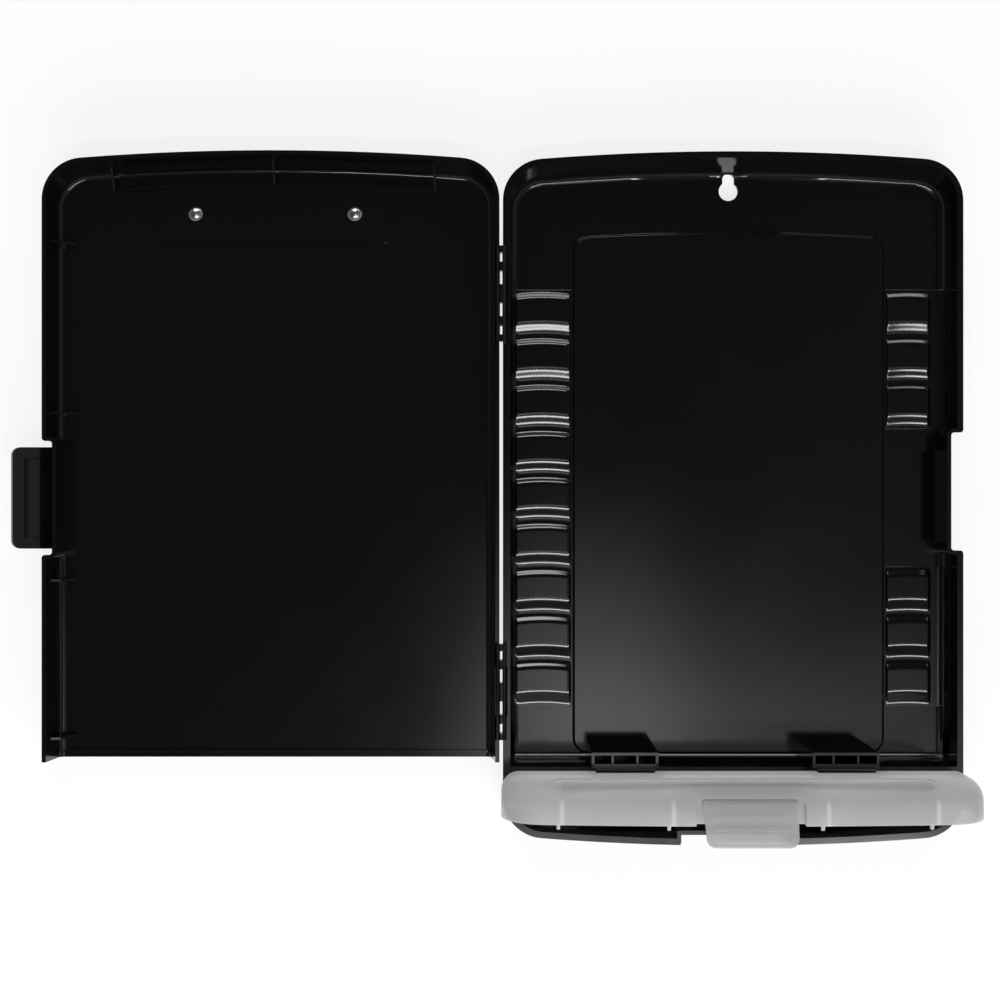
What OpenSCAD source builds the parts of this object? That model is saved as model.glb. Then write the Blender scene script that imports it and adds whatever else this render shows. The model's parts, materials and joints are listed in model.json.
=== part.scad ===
// Storage clipboard box: a deep tray and a hollow cover hinged along one long side, with a
// spring clip on the cover and a pen compartment under a frosted flap of its own.
// Every piece is drawn in its closed place, round the long hinge's axis, and then opened.

/* [Box] */
// Width of the tray over its ledge
box_w = 243.2; // [215:0.2:300]
// Length of the tray between the middles of its two arched ends
box_l = 366.8; // [330:0.2:440]
// Height of the tray
tray_h = 26; // [22:0.5:34]
// Height of the cover, and of the pen flap beside it
cover_h = 20; // [17:0.5:26]
// Radius of the corners in plan
corner_r = 22; // [14:1:30]
// Radius of the arched ends in plan
arch_r = 1300; // [800:50:3000]
// Gap between each rim and the plane through the long hinge's axis
rim_gap = 0.2; // [0.1:0.05:0.5]
// Gap between the long hinge's axis and the side of each half
side_gap = 0.9; // [0.6:0.1:2]
// Distance from the middle of the box to the cover's open end
cover_end = 139; // [120:0.5:160]

/* [Walls] */
// Thickness of the floors
floor_t = 2; // [1.5:0.1:3]
// Thickness of the side walls at the rims
wall_t = 2.2; // [1.6:0.1:3]
// Width of the ledge round the tray, below its rim
ledge_w = 1.7; // [1:0.1:2.5]
// Drop from the tray's rim to the ledge
ledge_drop = 2.5; // [1.5:0.1:5]
// Depth of the tray's main floor below the rim
floor_depth = 20; // [16:0.1:21]
// How far the cover's free edge stands back from the tray's ledge
cover_step = 2.1; // [1.5:0.1:3]

/* [Tray floor] */
// Width of the raised panel
panel_w = 168.2; // [140:0.2:200]
// Distance from the middle of the box to the raised panel's arched top
panel_top = 144; // [120:0.2:150]
// Height of the raised panel
panel_rise = 1; // [0.5:0.1:2]
// Width of the panel's sloping edge
panel_slope = 1.4; // [0.6:0.1:3]
// Gap between the panel and the pockets beside it
panel_gap = 0.8; // [0.5:0.1:2]
// Number of pockets down the hinge side
pocket_count = 9; // [3:1:9]
// Distance from one pocket to the next
pocket_pitch = 24.9; // [22:0.1:30]
// Width of a pocket, halfway down its slopes
pocket_w = 16.8; // [10:0.2:18]
// Width of one slope of a pocket
pocket_slope = 4.6; // [2:0.2:6]
// Radius of the pockets' bowed edges
pocket_bow_r = 107; // [80:1:200]
// Distance from the middle of the box to the middle of the first pocket
pocket_first = 100.7; // [90:0.1:110]
// Distance of the pockets' outer ends from the ledge's edge
pocket_out = 5.8; // [5:0.1:9]
// Radius of the keyhole's round end
keyhole_r = 5.1; // [4:0.1:6]
// Radius of the keyhole's narrow end
keyhole_neck_r = 3.15; // [2:0.05:3.5]
// Distance between the centres of the keyhole's two ends
keyhole_drop = 6.4; // [5:0.1:8]
// Distance from the middle of the box to the keyhole's round end
keyhole_at = 165.7; // [155:0.1:168]

/* [Long hinge] */
// Radius of the knuckles
knuckle_r = 2.9; // [2.5:0.1:3.5]
// Length of each outer knuckle
outer_knuckle_l = 12; // [9:0.5:16]
// Length of each middle knuckle
mid_knuckle_l = 25.8; // [20:0.2:30]
// Gap between the knuckles' ends
knuckle_gap = 0.3; // [0.2:0.05:0.6]
// Radius of the hinge stubs
stub_r = 1.6; // [1.2:0.1:1.9]
// Length of the hinge stubs
stub_l = 3.2; // [2.5:0.1:4]
// Running clearance of a stub in its socket, on the radius
run_gap = 0.06; // [0.03:0.01:0.1]
// Width of the windows through the knuckles
window_w = 1.2; // [0.8:0.1:1.6]
// Places of the two groups of knuckles along the hinge
upper_hinge_y = 107.6; // [80:0.2:120]
lower_hinge_y = -101.6; // [-110:0.2:-70]

/* [Pen flap] */
// Gap between the cover's open end and the flap
flap_gap = 1; // [0.6:0.1:2]
// How far the flap's free side stands back from the tray's ledge
flap_step = 1.1; // [0.8:0.1:3]
// Thickness of the flap's walls
flap_t = 2; // [1.5:0.1:2.5]
// Radius of the flap's front edge, seen from the end
flap_front_r = 14; // [10:0.5:15]
// Radius of the flap's side edges
flap_side_r = 10; // [5:0.5:12]
// Distance of the flap's pivot in front of its back face
pivot_in = 3.5; // [3.3:0.1:4.5]
// Distance of the flap's pivot below its top face
pivot_down = 3; // [2.9:0.1:4]
// Radius of the flap's hinge barrels
barrel_r = 2.8; // [2.4:0.1:2.8]
// Radius of the flap's pivot stubs
pivot_r = 1.4; // [1.1:0.1:1.6]
// Length of the flap's pivot stubs
pivot_l = 3.6; // [2.5:0.1:5]
// Width of a hinge barrel
barrel_w = 30; // [24:0.1:40]
// Distance of each hinge block from the middle of the tray
block_at = 57; // [40:0.5:80]
// How far both hinge blocks stand toward the long hinge
block_shift = 1.6; // [0:0.1:4]
// Depth of a hinge block, front to back
block_d = 8; // [6:0.5:12]
// Wall thickness of a hinge block
block_t = 1.4; // [1:0.1:2]
// Length of the sunk grip band on the flap
band_l = 191; // [120:1:210]
// Width of the sunk grip band
band_w = 12; // [8:0.5:16]
// Distance of the grip band's middle from the flap's back face
band_at = 29.5; // [18:0.1:34]
// Depth of the sunk grip band
band_depth = 1; // [0.4:0.1:1.2]
// Angle that the flap stands open
flap_open = 90; // [0:5:90]

/* [Latches] */
// Depth of the latch recesses
recess_depth = 6.2; // [5:0.1:8]
// Width of the recess for the cover's latch
cover_recess_w = 60; // [56:0.5:70]
// Place of the cover's latch along the side
cover_latch_y = 0.3; // [-10:0.1:10]
// Width of the tray's recess for the same latch
tray_recess_w = 62.2; // [58:0.2:72]
// How far the tray's recess is set toward the top end from the latch's middle
tray_recess_shift = 3.4; // [0:0.1:3.4]
// Width of the cover's latch
cover_latch_w = 54; // [40:0.2:54]
// Length of the cover's latch
cover_latch_l = 23.7; // [22:0.1:30]
// Height of the cover latch's root above the rim
cover_latch_root = 9; // [7:0.5:12]
// Angle that the cover's latch stands out
cover_latch_open = 50; // [0:1:90]
// Width of the recess for the flap's latch
flap_recess_w = 54; // [50:1:60]
// Width of the flap's latch
flap_latch_w = 46.6; // [36:0.2:48]
// Length of the flap's latch
flap_latch_l = 23; // [19:0.1:26]
// Height of the flap latch's root above the rim
flap_latch_root = 10.8; // [8:0.1:12]
// Angle that the flap's latch stands out
flap_latch_open = 26; // [0:1:60]
// Thickness of the latch tabs
tab_t = 2; // [1.5:0.1:3]
// Radius of the snap bead on each latch
bead_r = 1.1; // [0.8:0.1:1.4]
// Distance of the snap bead from the latch's tip
bead_from_tip = 7.5; // [6:0.1:10]

/* [Clip] */
// Length of the sunk pad under the clip, across the cover
pad_w = 123.5; // [100:0.5:150]
// Width of the sunk pad, along the cover
pad_l = 32; // [26:0.5:40]
// Depth of the sunk pad
pad_depth = 2; // [1:0.1:3]
// Distance from the middle of the box to the middle of the pad
pad_at = 153; // [145:0.5:156]
// Sheet thickness of the clip's base plate and jaw
clip_t = 0.8; // [0.6:0.1:1.2]
// Length of the clip's base plate, across the cover
clip_w = 112; // [90:1:120]
// Height of the clip above the cover's face
clip_rise = 6; // [5:0.1:9]
// Reach of the jaw in front of its pin
jaw_reach = 33; // [28:0.5:45]
// Radius of the clip's pin
pin_r = 1.25; // [1:0.05:1.5]
// Radius of the spring's wire
wire_r = 0.6; // [0.4:0.05:0.7]
// Mean radius of the spring's coils
coil_r = 2.35; // [2:0.05:2.4]
// Turns in each spring
coil_turns = 6; // [3:1:8]
// Distance between the two rivets
rivet_span = 85.6; // [60:0.2:100]
// Radius of the rivets' shanks
rivet_r = 2; // [1.5:0.1:2.5]
// Radius of the rivets' heads
rivet_head_r = 3.9; // [3:0.1:5]

/* [Hidden] */
$fn = 48;
over = 1;            // how far a cutter runs past what it cuts
corner_seg = 14;     // straight pieces in a plan corner
arch_seg = 20;       // straight pieces in an arched end
fillet_steps = 5;    // straight pieces in a fillet
crown_steps = 9;     // straight pieces in the flap's rounded front
slope_steps = 6;     // straight pieces in a pocket's slope
gloss_black = [0.09, 0.09, 0.095];
frosted = [0.86, 0.87, 0.88, 0.7];
nickel = [0.72, 0.72, 0.7];

// Box, in the frame of the long hinge: x from its axis, z from the plane of the axis
reach = side_gap + box_w;
half_l = box_l / 2;
tray_mid = side_gap + box_w / 2;
rim_z = -rim_gap;
ledge_z = rim_z - ledge_drop;
floor_z = rim_z - floor_depth;
under_z = floor_z - floor_t;
table_z = rim_z - tray_h;
low_floor_z = table_z + floor_t;
panel_r = 9;
cover_reach = reach - cover_step;
cover_mid = (side_gap + cover_reach) / 2;
flap_reach = reach - flap_step;
cover_z = rim_gap + cover_h;
hinge_z = -table_z;

// Walls of the tray's hollows, as distances in from the ledge's edge
rim_in = ledge_w + wall_t;
side_draft = 0.5;
side_fillet = 4;
end_slope = 3.6;
outer_draft = 0.8;
outer_fillet = 4;

// Cover
cover_draft = 2;
cover_fillet = 3;
rib_t = 1.2;
end_rib_half = 82.5;
end_rib_in = 14.4;
end_rib_h = 3.5;
gusset_l = 12;
gusset_flat = 6;
gusset_low = 6;
gusset_places = [136.5, 45.5, -43.5, -127.5];
boss_at = 31.3;
boss_y = 4.3;
boss_r = 2.1;
boss_hole_r = 1;
boss_h = 0.8;

// Long hinge
outer_at = mid_knuckle_l / 2 + knuckle_gap;
knuckle_relief = 0.4;
outer_window_l = 4.8;
mid_window_l = 7;

// Pen compartment and flap
flap_back = cover_end + flap_gap;
cross_lean = 1.2;
cross_fillet = 3.5;
pen_back = flap_back + cross_lean + wall_t;
pivot_y = -(flap_back + pivot_in);
pivot_z = cover_z - pivot_down;
notch_gap = 0.35;
notch_w = barrel_w + 2 * notch_gap;
notch_front = barrel_r + 2.2;
notch_floor_z = pivot_z - 8.2;
cheek_t = 2;
barrel_in = 0.8;
block_w = barrel_w + 2 * (block_t + barrel_in);
block_front = flap_back - 0.8;
block_mid = tray_mid - block_shift;
web_at = 0.185;
web_t = 1.1;
block_z = cover_z - floor_t - 2.1;
arm_root_z = 9;
arm_d = 2.2;
locator_places = [38, 92.6];
locator_t = 1.6;

// Latches: the root is a bead in a groove of the recess wall
root_r = 0.9;
root_gap = 0.06;
root_out = 0.2;
tab_out = 0.7;
tray_recess_in = 0.4;
flap_wall_y = -(half_l - recess_depth);
tray_side_wall_x = cover_reach - recess_depth + 0.8 + tray_recess_in;
cover_side_wall_x = tray_side_wall_x - tray_recess_in;
tab_corner_r = 4.3;
bead_l_less = 12;
groove_r = bead_r + 0.4;
groove_l_more = 2.4;
catch_shift = 1;
recess_in_r = 1.5;
recess_mouth_r = 1.8;
flap_recess_r = 3.5;
flap_recess_z = rim_gap + flap_latch_root + 2.3;
catch_depth = 4.4;
catch_fall = 0.5;
catch_h = 4.2;
cover_bead_z = rim_gap + cover_latch_root - (cover_latch_l - bead_from_tip);
flap_bead_z = rim_gap + flap_latch_root - (flap_latch_l - bead_from_tip);
catch_y = flap_wall_y - root_out - tab_out;
frame_w = 3;
frame_depth = 0.5;
frame_bead_r = tab_out + root_out - tray_recess_in - 0.15;
frame_bead_l = 6;
grip_count = 3;
grip_l = 38.4;
grip_w = 2.5;
grip_h = 0.6;
grip_first = 2.8;
grip_step = 5.8;

// Clip
pad_floor_z = cover_z - pad_depth;
plate_z = pad_floor_z + clip_t;
pin_y = pad_at + 7.5;
pin_z = plate_z + coil_r + wire_r + 0.25;
clip_top_z = cover_z + clip_rise;
ear_t = 1;
ear_r = 2.9;
curl_r = pin_r + run_gap + clip_t;
coil_pitch = 2 * wire_r + 0.2;
spring_at = 24;
jaw_w = clip_w - 2 * ear_t - 1.6;
plate_l = 26;
lever_l = 15;
lip_gap = 0.3;
coil_l = coil_turns * coil_pitch + 2 * wire_r;
wire_sides = 8;
coil_steps = 20;

// Reach of the open cover's latch tip, which sets the middle of the opened box
latch_tip_reach = cover_side_wall_x + root_out
    + cover_latch_l * sin(cover_latch_open) + (tab_out + tab_t) * cos(cover_latch_open);
hinge_x = (latch_tip_reach - reach) / 2;

// ---------- outlines and lofts ----------

// One arched end with its two corners, from the right side round to the left
function end_curve(x0, x1, y1, r, ra) =
    let (xm = (x0 + x1) / 2,
         ya = y1 - ra,
         yc = ya + sqrt(pow(ra - r, 2) - pow(x1 - r - xm, 2)),
         b = atan2(yc - ya, x1 - r - xm))
    concat(
        [for (i = [0:corner_seg]) let (a = b * i / corner_seg)
            [x1 - r, yc] + r * [cos(a), sin(a)]],
        [for (i = [1:arch_seg - 1]) let (a = b + (180 - 2 * b) * i / arch_seg)
            [xm, ya] + ra * [cos(a), sin(a)]],
        [for (i = [0:corner_seg]) let (a = 180 - b + b * i / corner_seg)
            [x0 + r, yc] + r * [cos(a), sin(a)]]);

// The same curve at the other end, run the other way
function turned(pts) = [for (i = [len(pts) - 1:-1:0]) [pts[i].x, -pts[i].y]];

// Whole outline of the tray, drawn in by side_in and end_in
function tray_plan(side_in, end_in) =
    let (curve = end_curve(side_gap + side_in, reach - side_in, half_l - end_in,
                           max(2, corner_r - side_in), arch_r - end_in))
    concat(curve, turned(curve));

// Outline with an arched top end and a straight lower end at y0
function top_plan(x0, x1, y0, end_in, side_in) =
    concat(end_curve(x0 + side_in, x1 - side_in, half_l - end_in,
                     max(2, corner_r - side_in), arch_r - end_in),
           [[x0 + side_in, y0], [x1 - side_in, y0]]);

// Outline of the pen compartment's end, straight at the back and arched in front
function pen_plan(side_in, end_in, back, near = side_gap, far = reach) =
    concat([[far - side_in, -back], [near + side_in, -back]],
           turned(end_curve(near + side_in, far - side_in, half_l - end_in,
                            max(2, corner_r - side_in), arch_r - end_in)));

function at_z(pts, z) = [for (p = pts) [p.x, p.y, z]];

// Solid through a stack of rings with the same number of points, lowest ring first
module loft(rings) {
    n = len(rings[0]);
    m = len(rings);
    points = [for (ring = rings) for (p = ring) p];
    sides = [for (j = [0:m - 2]) for (i = [0:n - 1])
        let (k = (i + 1) % n) [j * n + i, (j + 1) * n + i, (j + 1) * n + k, j * n + k]];
    bottom = [[for (i = [0:n - 1]) i]];
    top = [[for (i = [n - 1:-1:0]) (m - 1) * n + i]];
    polyhedron(points = points, faces = concat(bottom, sides, top), convexity = 6);
}

// Quarter fillet where a wall meets a floor: how far in, and how far up, at each step
function fillet_in(r, i) = r * (1 - sin(90 * i / fillet_steps));
function fillet_up(r, i) = r * (1 - cos(90 * i / fillet_steps));

// How far in a rounded upper edge has come at height z of a shell of height h
function crown_in(z, r, h) = z <= h - r ? 0 : r - sqrt(max(0, r * r - pow(z - h + r, 2)));

module rounded_rect(w, l, r) {
    hull() {
        for (sx = [-1, 1]) for (sy = [-1, 1]) {
            translate([sx * (w / 2 - r), sy * (l / 2 - r)]) circle(r, $fn = 32);
        }
    }
}

// Profile in the plane of y and z, run along x from x0 to x1
module along_x(x0, x1) {
    translate([x0, 0, 0]) rotate([90, 0, 90]) linear_extrude(x1 - x0) children();
}

// Profile in the plane of x and z, run along y from y0 to y1
module along_y(y0, y1) {
    translate([0, y1, 0]) rotate([90, 0, 0]) linear_extrude(y1 - y0) children();
}

// ---------- places ----------

module at_hinge() { translate([hinge_x, 0, hinge_z]) children(); }

module cover_opened() { at_hinge() rotate([0, -180, 0]) children(); }

module flap_opened() {
    at_hinge() translate([0, pivot_y, pivot_z]) rotate([-flap_open, 0, 0])
        translate([0, -pivot_y, -pivot_z]) children();
}

// ---------- long hinge ----------

// Groups of knuckles: each child is drawn round y = 0
module hinge_groups() {
    for (y = [upper_hinge_y, lower_hinge_y]) translate([0, y, 0]) children();
}

module window(y0, l) {
    translate([-window_w / 2, y0, -knuckle_r - over]) cube([window_w, l, 2 * (knuckle_r + over)]);
}

// Outer knuckle: a barrel, the web that roots it in the tray's wall, a socket and a window
module outer_knuckle() {
    difference() {
        along_y(outer_at, outer_at + outer_knuckle_l) union() {
            circle(knuckle_r);
            translate([0, -knuckle_r]) square([side_gap + ledge_w + wall_t / 2, knuckle_r - rim_gap]);
        }
        along_y(outer_at - over, outer_at + stub_l + knuckle_gap) circle(stub_r + run_gap);
        window(outer_at + stub_l + knuckle_gap, outer_window_l);
    }
}

// Middle knuckle with a stub at each end, rooted in the cover's wall
module middle_knuckle() {
    difference() {
        along_y(-mid_knuckle_l / 2, mid_knuckle_l / 2) union() {
            circle(knuckle_r);
            translate([0, rim_gap]) square([side_gap + wall_t / 2, knuckle_r - rim_gap]);
        }
        for (s = [-1, 1]) {
            window(s * (mid_knuckle_l / 2 - 4.5) - mid_window_l / 2, mid_window_l);
        }
    }
    for (s = [-1, 1]) {
        along_y(s > 0 ? mid_knuckle_l / 2 - 1 : -mid_knuckle_l / 2 - stub_l,
                s > 0 ? mid_knuckle_l / 2 + stub_l : -mid_knuckle_l / 2 + 1) circle(stub_r);
    }
}

// ---------- tray ----------

module tray_outside() {
    h = ledge_z - under_z;
    loft(concat(
        [for (i = [0:fillet_steps])
            at_z(tray_plan(outer_draft + fillet_in(outer_fillet, i),
                           outer_draft + end_slope - 0.6 + fillet_in(outer_fillet, i)),
                 under_z + fillet_up(outer_fillet, i))],
        [at_z(tray_plan(0, 0), ledge_z)]));
    loft(concat(
        [for (i = [0:fillet_steps])
            at_z(pen_plan(outer_draft + fillet_in(outer_fillet, i),
                          outer_draft + fillet_in(outer_fillet, i), flap_back),
                 table_z + fillet_up(outer_fillet, i))],
        [at_z(pen_plan(0, 0, flap_back), ledge_z)]));
    translate([0, 0, ledge_z - over]) linear_extrude(ledge_drop + over)
        polygon(tray_plan(ledge_w, ledge_w));
}

module main_hollow() {
    difference() {
        loft(concat(
            [for (i = [0:fillet_steps])
                at_z(top_plan(side_gap, reach, -flap_back + fillet_in(cross_fillet, i),
                              rim_in + end_slope + fillet_in(side_fillet, i),
                              rim_in + side_draft + fillet_in(side_fillet, i)),
                     floor_z + fillet_up(side_fillet, i))],
            [for (z = [rim_z, rim_z + over])
                at_z(top_plan(side_gap, reach, -flap_back - cross_lean, rim_in, rim_in), z)]));
        side_recess(wall_t);
    }
}

module pen_hollow() {
    difference() {
        loft(concat(
            [for (i = [0:fillet_steps])
                at_z(pen_plan(rim_in + side_draft + fillet_in(side_fillet, i),
                              rim_in + side_draft + fillet_in(side_fillet, i), pen_back),
                     low_floor_z + fillet_up(side_fillet, i))],
            [at_z(pen_plan(rim_in, rim_in, pen_back), rim_z),
             at_z(pen_plan(rim_in, rim_in, pen_back), rim_z + over)]));
        front_recess(wall_t);
    }
}

// Plan of a latch recess on its mouth's side: inner corners rounded, mouth flared by r
function recess_plan(w, deep, r_in, r) = concat(
    [[deep + over, -w / 2 - r], [deep, -w / 2 - r]],
    [for (i = [1:6]) [deep - r, -w / 2 - r] + r * [cos(15 * i), sin(15 * i)]],
    [for (i = [0:6]) [r_in, -w / 2 + r_in] + r_in * [-sin(15 * i), -cos(15 * i)]],
    [for (i = [6:-1:0]) [r_in, w / 2 - r_in] + r_in * [-sin(15 * i), cos(15 * i)]],
    [for (i = [6:-1:1]) [deep - r, w / 2 + r] + r * [cos(15 * i), -sin(15 * i)]],
    [[deep, w / 2 + r], [deep + over, w / 2 + r]]);

// Cutter for the latch recess in the tray's free side; grown, it is the wall round it
module side_recess(grow) {
    translate([tray_side_wall_x - grow, cover_latch_y + tray_recess_shift, table_z - over])
        linear_extrude(tray_h + 2 * over)
        polygon(recess_plan(tray_recess_w + 2 * grow, reach - tray_side_wall_x + grow,
                            recess_in_r + grow, grow > 0 ? 0.1 : recess_mouth_r));
}

// The same at the front, for the flap's latch
module front_recess(grow) {
    w = flap_recess_w + 1.3 + 2 * grow;
    translate([tray_mid - w / 2, flap_wall_y - half_l + grow, table_z - over])
        cube([w, half_l, tray_h + 2 * over]);
}

// A pocket's profile, by radius from its bow's centre and height, its slopes easing in and out;
// grown, it is the outside of the pocket's wall
module pocket_profile(grow) {
    top_w = (pocket_w + pocket_slope) / 2 + 0.6 * grow;
    deep = floor_z - low_floor_z;
    slope = [for (i = [0:slope_steps]) let (t = i / slope_steps)
        [top_w - pocket_slope * t, floor_z - grow - deep * (1 - cos(180 * t)) / 2]];
    top_z = grow > 0 ? floor_z - floor_t / 2 : floor_z + 1.2;
    polygon(concat([[pocket_bow_r - top_w, top_z]],
                   [for (p = slope) [pocket_bow_r - p.x, p.y]],
                   [for (i = [slope_steps:-1:0]) [pocket_bow_r + slope[i].x, slope[i].y]],
                   [[pocket_bow_r + top_w, top_z]]));
}

// The pockets of one strip between x0 and x1, for the numbers in list
module pocket_strip(x0, x1, list, grow) {
    intersection() {
        for (k = list) {
            translate([(x0 + x1) / 2, pocket_first - k * pocket_pitch - pocket_bow_r, 0])
                rotate([0, 0, 78]) rotate_extrude(angle = 24, $fn = 96) pocket_profile(grow);
        }
        translate([x0 - grow, -half_l, table_z]) cube([x1 - x0 + 2 * grow, box_l, tray_h]);
    }
}

side_list = [for (k = [0:pocket_count - 1]) if (abs(pocket_first - k * pocket_pitch - cover_latch_y)
             > cover_recess_w / 2 + pocket_w / 2 + 5) k];

module pockets(grow) {
    pocket_strip(side_gap + pocket_out, tray_mid - panel_w / 2 - panel_gap,
                 [for (k = [0:pocket_count - 1]) k], grow);
    pocket_strip(tray_mid + panel_w / 2 + panel_gap, reach - pocket_out, side_list, grow);
}

// Outline of the raised panel, drawn in by inset
function panel_plan(inset) =
    let (x0 = tray_mid - panel_w / 2 + inset,
         x1 = tray_mid + panel_w / 2 - inset,
         y0 = -(cover_end - 1.2) + inset,
         r = panel_r - inset,
         turn = [for (i = [0:corner_seg]) 180 + 90 * i / corner_seg])
    concat(
        end_curve(x0, x1, panel_top - inset, r, arch_r - half_l + panel_top - inset),
        [for (a = turn) [x0 + r, y0 + r] + r * [cos(a), sin(a)]],
        [for (a = turn) [x1 - r, y0 + r] + r * [cos(a + 90), sin(a + 90)]]);

module raised_panel() {
    loft(concat(
        [at_z(panel_plan(0), floor_z - 0.5)],
        [for (i = [0:4]) at_z(panel_plan(panel_slope * i / 4),
                              floor_z + panel_rise * (1 - cos(45 * i)) / 2)]));
}

// Hollow upright block with two inner webs, and the arm that carries the flap's barrel
module hinge_block() {
    difference() {
        translate([-block_w / 2, -block_front, floor_z - 0.5])
            cube([block_w, block_d, block_z - floor_z + 0.5]);
        difference() {
            translate([-block_w / 2 + block_t, -block_front + arm_d, floor_z + panel_rise])
                cube([block_w - 2 * block_t, block_d - arm_d - block_t, block_z - floor_z]);
            for (s = [-1, 1]) {
                translate([s * web_at * block_w - web_t / 2, -block_front, floor_z])
                    cube([web_t, block_d, block_z - floor_z - 0.6]);
            }
        }
    }
    difference() {
        along_x(-barrel_w / 2, barrel_w / 2) union() {
            translate([pivot_y, pivot_z]) circle(barrel_r);
            polygon([[-block_front + arm_d / 2, arm_root_z], [-block_front + arm_d / 2, block_z],
                     [-block_front - 0.2, block_z + 0.1],
                     [pivot_y + barrel_r * 0.5, pivot_z + barrel_r * 0.82],
                     [pivot_y, pivot_z - barrel_r * 0.98], [-block_front, arm_root_z]]);
        }
        for (s = [-1, 1]) {
            along_x(s > 0 ? barrel_w / 2 - pivot_l - 0.4 : -barrel_w / 2 - over,
                    s > 0 ? barrel_w / 2 + over : -barrel_w / 2 + pivot_l + 0.4)
                translate([pivot_y, pivot_z]) circle(pivot_r + run_gap);
        }
    }
}

module keyhole() {
    translate([tray_mid, keyhole_at, under_z - over]) {
        cylinder(r = keyhole_r, h = floor_t + 2 * over);
        translate([0, keyhole_drop, 0]) cylinder(r = keyhole_neck_r, h = floor_t + 2 * over);
        translate([-keyhole_neck_r, 0, 0]) cube([2 * keyhole_neck_r, keyhole_drop, floor_t + 2 * over]);
    }
}

// Bulges inside the recess walls that carry the catch grooves: the side one falls away inward
module catches(grow) {
    cover_l = cover_latch_w - bead_l_less + groove_l_more;
    flap_l = flap_latch_w - bead_l_less + groove_l_more;
    top = bead_r + 0.3 + 1.12 * grow;
    inner = -catch_depth - grow;
    mid = cover_latch_y + catch_shift;
    translate([tray_side_wall_x, 0, cover_bead_z])
        along_y(mid - cover_l / 2 - grow, mid + cover_l / 2 + grow)
        polygon([[over, top], [0, top], [inner, top + catch_fall * inner],
                 [inner, -catch_h / 2 - grow], [0, -catch_h - grow], [over, -catch_h - grow]]);
    translate([0, catch_y, flap_bead_z])
        along_x(tray_mid - flap_l / 2 - grow, tray_mid + flap_l / 2 + grow) circle(groove_r + grow);
}

module tray_shell() {
    color(gloss_black) at_hinge() difference() {
        union() {
            difference() {
                union() {
                    tray_outside();
                    pockets(floor_t);
                }
                main_hollow();
                pen_hollow();
                pockets(0);
            }
            raised_panel();
            for (s = [-1, 1]) translate([block_mid + s * block_at, 0, 0]) hinge_block();
            intersection() {
                catches(wall_t);
                translate([0, -half_l, table_z]) cube([tray_side_wall_x, box_l, tray_h]);
                translate([0, flap_wall_y, table_z]) cube([reach, box_l, tray_h]);
            }
        }
        side_recess(0);
        front_recess(0);
        catches(0);
        keyhole();
        hinge_groups() along_y(-outer_at, outer_at) circle(knuckle_r + knuckle_relief);
    }
    color(gloss_black) at_hinge() hinge_groups() {
        outer_knuckle();
        mirror([0, 1, 0]) outer_knuckle();
    }
}

// ---------- cover ----------

module cover_outside() {
    loft(concat(
        [at_z(top_plan(side_gap, cover_reach, -cover_end, 0, 0), rim_gap)],
        [for (i = [fillet_steps:-1:0])
            at_z(top_plan(side_gap, cover_reach, -cover_end, outer_draft + fillet_in(outer_fillet, i),
                          outer_draft + fillet_in(outer_fillet, i)),
                 cover_z - fillet_up(outer_fillet, i))]));
}

module cover_hollow() {
    difference() {
        loft(concat(
            [for (z = [rim_gap - over, rim_gap])
                at_z(top_plan(side_gap, cover_reach, -cover_end - over, wall_t, wall_t), z)],
            [for (i = [fillet_steps:-1:0])
                at_z(top_plan(side_gap, cover_reach, -cover_end - over,
                              wall_t + end_slope + fillet_in(cover_fillet, i),
                              wall_t + cover_draft + fillet_in(cover_fillet, i)),
                     cover_z - floor_t - fillet_up(cover_fillet, i))]));
        cover_recess(wall_t);
    }
}

// Cutter for the recess round the cover's latch; grown, it is the wall round it
module cover_recess(grow) {
    translate([cover_side_wall_x - grow, cover_latch_y, -over]) linear_extrude(cover_z + 2 * over)
        polygon(recess_plan(cover_recess_w + 2 * grow, cover_reach - cover_side_wall_x + grow,
                            recess_in_r + grow, grow > 0 ? 0.1 : recess_mouth_r));
}

module pad_boss() {
    translate([cover_mid, pad_at, cover_z - floor_t - pad_depth])
        linear_extrude(pad_depth + floor_t / 2) rounded_rect(pad_w, pad_l, 4);
}

module pad_recess() {
    translate([cover_mid, pad_at, pad_floor_z])
        linear_extrude(pad_depth + over) rounded_rect(pad_w - 2 * floor_t, pad_l - 2 * floor_t, 3);
}

// Curved rib beside the arched end wall, tied to it by three gussets
module end_rib() {
    r = arch_r - end_rib_in;
    half = asin(end_rib_half / r);
    arc = [for (i = [0:arch_seg]) let (a = 90 - half + 2 * half * i / arch_seg) [cos(a), sin(a)]];
    translate([cover_mid, half_l - arch_r, cover_z - floor_t - end_rib_h])
        linear_extrude(end_rib_h + floor_t / 2)
        polygon(concat([for (p = arc) r * p],
                       [for (i = [arch_seg:-1:0]) (r - rib_t) * arc[i]]));
    for (x = [-86, 0, 86]) {
        drop = arch_r - sqrt(arch_r * arch_r - x * x);
        y0 = half_l - drop - end_rib_in - rib_t / 2;
        y1 = half_l - drop - wall_t / 2;
        along_x(cover_mid + x - rib_t / 2, cover_mid + x + rib_t / 2)
            polygon([[y0, cover_z - floor_t / 2], [y0, cover_z - floor_t - end_rib_h],
                     [y1 - 1, rim_gap + 7], [y1 - 1, cover_z - floor_t / 2 - outer_fillet],
                     [y1 - 4, cover_z - floor_t / 2]]);
    }
}

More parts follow.
